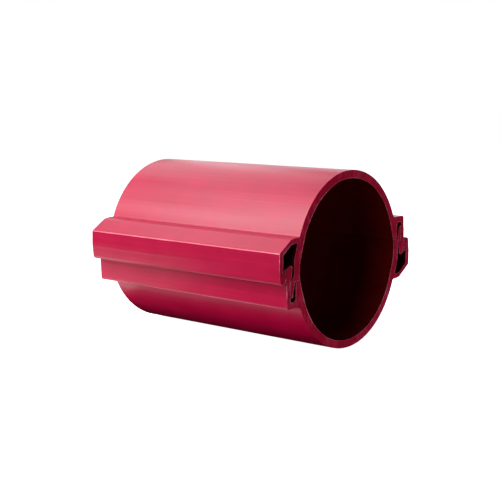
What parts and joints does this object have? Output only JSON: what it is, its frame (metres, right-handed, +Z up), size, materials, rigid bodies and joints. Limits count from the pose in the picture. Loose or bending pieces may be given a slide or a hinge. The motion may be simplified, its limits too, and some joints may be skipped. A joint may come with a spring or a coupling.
{
  "type": "pipe coupling",
  "caption": "Split sleeve coupling for cable duct: two alike plastic half shells that snap together along both sides with hooked latch arms over barbed walls.",
  "frame": {"origin": "on the axis of the bore, at the middle of its length", "axes": "+X along the bore, +Z up through the upper half's crown, +Y towards the latch whose arm is the lower half's"},
  "size_m": [0.154, 0.1408, 0.11],
  "materials": {
    "red_plastic": "smooth extruded polyethylene with a soft gloss, sawn matt at the ends"
  },
  "bodies": {
    "lower_half": {"lower_half_shell": "red_plastic"},
    "lower_arm": {"lower_latch_arm": "red_plastic"},
    "lower_catch": {"lower_catch_wall": "red_plastic"},
    "upper_half": {"upper_half_shell": "red_plastic"},
    "upper_arm": {"upper_latch_arm": "red_plastic"},
    "upper_catch": {"upper_catch_wall": "red_plastic"}
  },
  "joints": [
    {"name": "upper_half_lift", "type": "slide", "parent": "lower_half", "child": "upper_half", "axis": [0, 0, 1], "range_m": [0, 0.12]},
    {"name": "upper_arm_flex", "type": "hinge", "parent": "upper_half", "child": "upper_arm", "pos_m": [0, -0.0556, 0.0195], "axis": [-1, 0, 0], "range_deg": [0, 10], "stiffness_Nm_per_rad": 0.05, "springref_deg": -11.46},
    {"name": "lower_catch_flex", "type": "hinge", "parent": "lower_half", "child": "lower_catch", "pos_m": [0, -0.0633, -0.0144], "axis": [1, 0, 0], "range_deg": [0, 6]},
    {"name": "lower_arm_flex", "type": "hinge", "parent": "lower_half", "child": "lower_arm", "pos_m": [0, 0.0556, -0.0195], "axis": [-1, 0, 0], "range_deg": [0, 10], "stiffness_Nm_per_rad": 0.05, "springref_deg": -11.46},
    {"name": "upper_catch_flex", "type": "hinge", "parent": "upper_half", "child": "upper_catch", "pos_m": [0, 0.0633, 0.0144], "axis": [1, 0, 0], "range_deg": [0, 6]}
  ],
  "couplings": [
    {"joint": "lower_catch_flex", "follows": "upper_arm_flex", "ratio": 0.6},
    {"joint": "upper_catch_flex", "follows": "lower_arm_flex", "ratio": 0.6}
  ]
}
